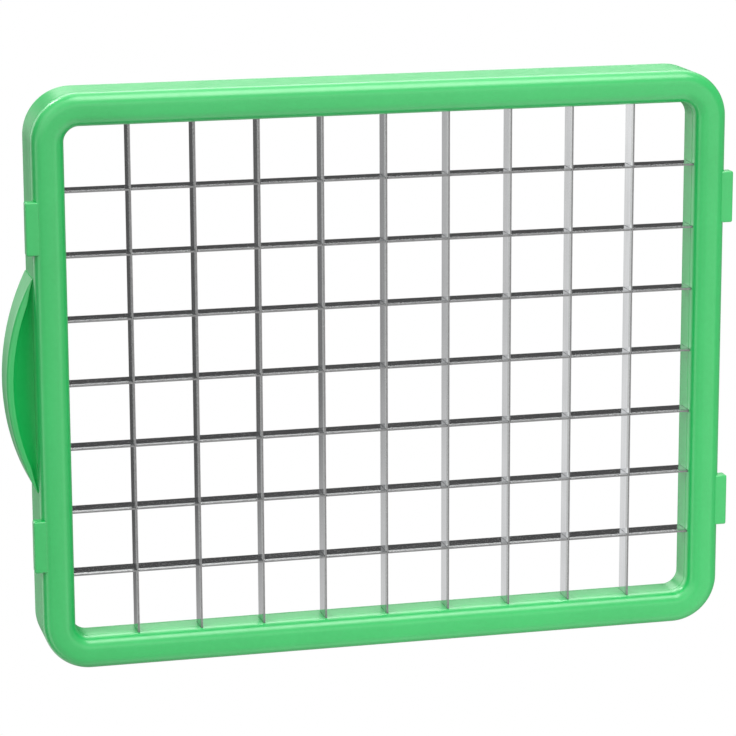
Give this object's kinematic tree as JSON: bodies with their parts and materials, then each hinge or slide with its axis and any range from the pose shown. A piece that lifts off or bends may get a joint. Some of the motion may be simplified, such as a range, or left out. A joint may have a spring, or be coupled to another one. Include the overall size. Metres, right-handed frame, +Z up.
{
  "type": "vegetable dicer cutting grid",
  "caption": "Removable cutting grid of a manual vegetable dicer: green moulded frame with finger grip and locating lugs, crossed steel strip blades making square cells.",
  "frame": {"origin": "middle of the face that the cassette stands on, half way through its depth", "axes": "+X to the right of someone facing the cutting side, +Y from the cutting side to the open back, +Z up along the short side"},
  "size_m": [0.1156, 0.0108, 0.09],
  "materials": {
    "green_front_plastic": "satin-gloss moulded",
    "green_rear_plastic": "satin-gloss moulded",
    "strip_steel": "rolled stainless strip, bright"
  },
  "bodies": {
    "root": {"front_frame": "green_front_plastic", "rear_frame": "green_rear_plastic", "upright_blade_1": "strip_steel", "upright_blade_2": "strip_steel", "upright_blade_3": "strip_steel", "upright_blade_4": "strip_steel", "upright_blade_5": "strip_steel", "upright_blade_6": "strip_steel", "upright_blade_7": "strip_steel", "upright_blade_8": "strip_steel", "upright_blade_9": "strip_steel", "level_blade_1": "strip_steel", "level_blade_2": "strip_steel", "level_blade_3": "strip_steel", "level_blade_4": "strip_steel", "level_blade_5": "strip_steel", "level_blade_6": "strip_steel", "level_blade_7": "strip_steel"}
  },
  "joints": []
}
